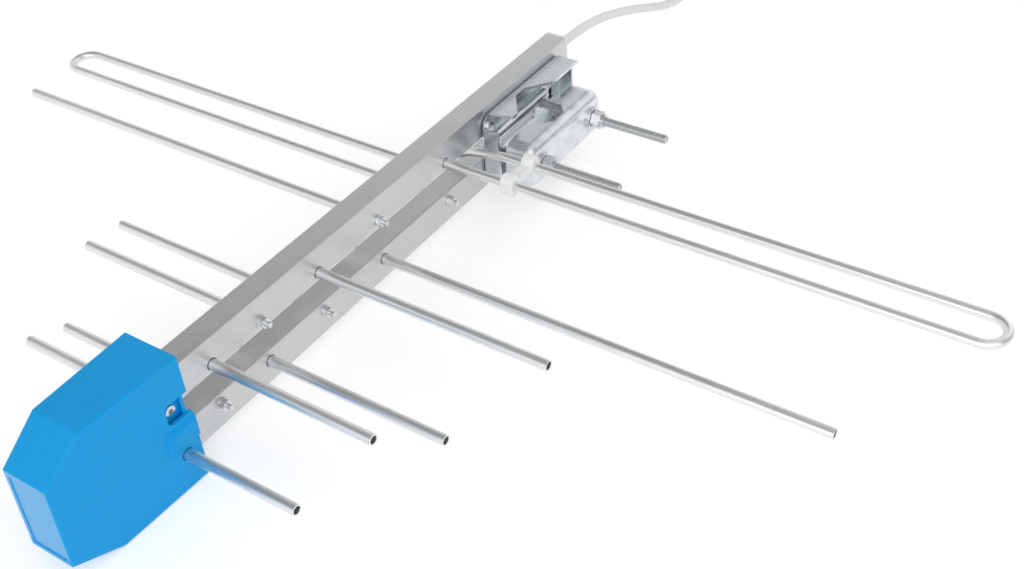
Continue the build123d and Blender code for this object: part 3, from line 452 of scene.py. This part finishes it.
def make_materials():
    """One material for each slot of the record."""
    made = {}
    made["boom_aluminium"] = metal(
        "extruded_aluminium", grey(0.58, 0.012), grey(0.63, 0.012),
        stretch=(1, 0.02, 1), scale=500.0, rough=(0.28, 0.36), bump=0.03,
    )
    made["rod_aluminium"] = metal(
        "drawn_aluminium", grey(0.75, 0.01), grey(0.85, 0.01),
        stretch=(0.02, 1, 1), scale=700.0, rough=(0.32, 0.42), bump=0.05,
    )
    made["clamp_zinc"] = metal(
        "zinc_plate", (0.64, 0.685, 0.71, 1), (0.80, 0.835, 0.86, 1),
        stretch=EVEN, scale=120.0, rough=(0.24, 0.38), bump=0.05, blotch=0.10,
    )
    made["clamp_fixings"] = metal(
        "bright_zinc", grey(0.62, 0.03), grey(0.76, 0.03),
        stretch=EVEN, scale=400.0, rough=(0.20, 0.30), bump=0.04,
    )
    # painted shade in the studs' thread grooves
    paint_groove_shade(made["clamp_fixings"])
    made["small_steel"] = metal(
        "small_zinc", grey(0.60, 0.02), grey(0.80, 0.02),
        stretch=EVEN, scale=500.0, rough=(0.12, 0.22), bump=0.04,
    )
    made["brass_parts"] = metal(
        "turned_brass", (0.62, 0.43, 0.16, 1), (0.80, 0.60, 0.26, 1),
        stretch=(1, 0.1, 1), scale=600.0, rough=(0.2, 0.34), bump=0.05,
    )
    made["shield_tin"] = metal(
        "tinned_sheet", grey(0.62), grey(0.76),
        stretch=EVEN, scale=300.0, rough=(0.25, 0.4), bump=0.06,
    )
    for slot, name, colour, rough, grain_scale, bump, shade in (
        ("clip_white", "white_clip", (0.92, 0.92, 0.92), 0.35, 900.0, 0.05, 0.02),
        ("plug_white", "white_plug", (0.84, 0.84, 0.84), 0.40, 900.0, 0.08, 0.04),
        ("spacer_black", "black_spacer", (0.025, 0.025, 0.028), 0.5, 700.0, 0.15, 0.2),
        ("tie_black", "black_tie", (0.03, 0.03, 0.03), 0.55, 600.0, 0.15, 0.2),
        ("board_green", "green_board", (0.02, 0.16, 0.05), 0.3, 500.0, 0.10, 0.25),
        ("cable_white", "cable_jacket", (0.82, 0.83, 0.83), 0.32, 500.0, 0.05, 0.04),
    ):
        made[slot] = plastic(name, colour, rough, grain_scale, bump, shade)
    made["housing_blue"] = plastic(
        "blue_housing", (0.0, 0.362, 0.81),
        rough=0.34, grain_scale=700.0, bump=0.08, shade=0.04, specular=0.25,
    )
    # painted sheen on the housing's front panel
    paint_front_sheen(made["housing_blue"])
    return made


def dress_nodes(materials):
    """Every CAD node takes its slot's material. Cut metal edges get a narrow bevel."""
    slots = {entry["node"]: entry["material_slot"] for entry in frame["record"]["subparts"]}
    for name, node in frame["nodes"].items():
        node.data.materials.clear()
        node.data.materials.append(materials[slots[name]])
    for name in BEVELLED:
        bevel = frame["nodes"][name].modifiers.new("edge", "BEVEL")
        bevel.width = BEVEL_WIDTH * MM
        bevel.segments = 2
        bevel.limit_method = "ANGLE"
        bevel.angle_limit = radians(BEVEL_ANGLE)


# Studio


def make_sky():
    """A sky that is bright at the horizon, dim above and dimmer to the right. The camera sees it white."""
    world = bpy.data.worlds.new("studio")
    world.use_nodes = True
    bpy.context.scene.world = world
    nodes, links = world.node_tree.nodes, world.node_tree.links
    direction = split_vector(nodes, links, nodes.new("ShaderNodeTexCoord").outputs["Generated"])
    sky = ramp_between(
        nodes, links, direction["Z"], grey(SKY_HORIZON[1]), grey(SKY_SHOULDER[1], 0.01),
        SKY_HORIZON[0], SKY_SHOULDER[0],
    )
    for height, tone in SKY_UPPER:
        sky.color_ramp.elements.new(height).color = grey(tone)
    side = ramp_between(
        nodes, links, direction["X"], grey(SKY_LEFT[1]), grey(SKY_RIGHT[1]),
        SKY_LEFT[0], SKY_RIGHT[0],
    )
    backdrop = add_node(nodes, "ShaderNodeMix", data_type="RGBA")
    rays = nodes.new("ShaderNodeLightPath")
    links.new(rays.outputs["Is Camera Ray"], backdrop.inputs["Factor"])
    links.new(multiply(nodes, links, sky.outputs["Color"], side.outputs["Color"]), backdrop.inputs["A"])
    backdrop.inputs["B"].default_value = grey(1.0)
    links.new(backdrop.outputs["Result"], nodes["Background"].inputs["Color"])


def make_floor():
    """A pale floor that glows a little for the camera and in reflections, but lights nothing."""
    mesh = bpy.data.meshes.new("floor")
    square = ((-1, -1), (1, -1), (1, 1), (-1, 1))
    corners = [(x * FLOOR_REACH, y * FLOOR_REACH, FLOOR_DEPTH) for x, y in square]
    mesh.from_pydata(corners, [], [(0, 1, 2, 3)])
    floor = link("floor", mesh)
    material, nodes, links, shader = new_material("pale_floor")
    shader.inputs["Base Color"].default_value = FLOOR_TONE
    shader.inputs["Roughness"].default_value = 0.9
    shader.inputs["Specular IOR Level"].default_value = 0.1
    shader.inputs["Emission Color"].default_value = (1.0, 1.0, 1.0, 1.0)
    path = nodes.new("ShaderNodeLightPath")
    seen = add_node(nodes, "ShaderNodeMath", operation="MAXIMUM")
    links.new(path.outputs["Is Camera Ray"], seen.inputs[0])
    links.new(path.outputs["Is Glossy Ray"], seen.inputs[1])
    glow = add_node(nodes, "ShaderNodeMath", operation="MULTIPLY")
    glow.inputs[1].default_value = FLOOR_GLOW
    links.new(seen.outputs["Value"], glow.inputs[0])
    links.new(glow.outputs["Value"], shader.inputs["Emission Strength"])
    mesh.materials.append(material)


def make_lamps():
    for name, place, size, power in LAMPS:
        data = bpy.data.lights.new(name, "AREA")
        data.size = size
        data.energy = power
        lamp = link(name, data)
        lamp.location = place
        lamp.visible_camera = False
        lamp.rotation_euler = (-Vector(place)).to_track_quat("-Z", "Y").to_euler()


bpy.context.scene.view_settings.view_transform = "Standard"
set_up_camera()
cable = make_cable()
materials = make_materials()
cable.data.materials.append(materials["cable_white"])
make_surrounds(materials["housing_blue"])
for stud_name in STUD_STATIONS:
    make_stud(stud_name, materials["clamp_fixings"])
dress_nodes(materials)
make_sky()
make_floor()
make_lamps()

bpy.context.view_layer.update()
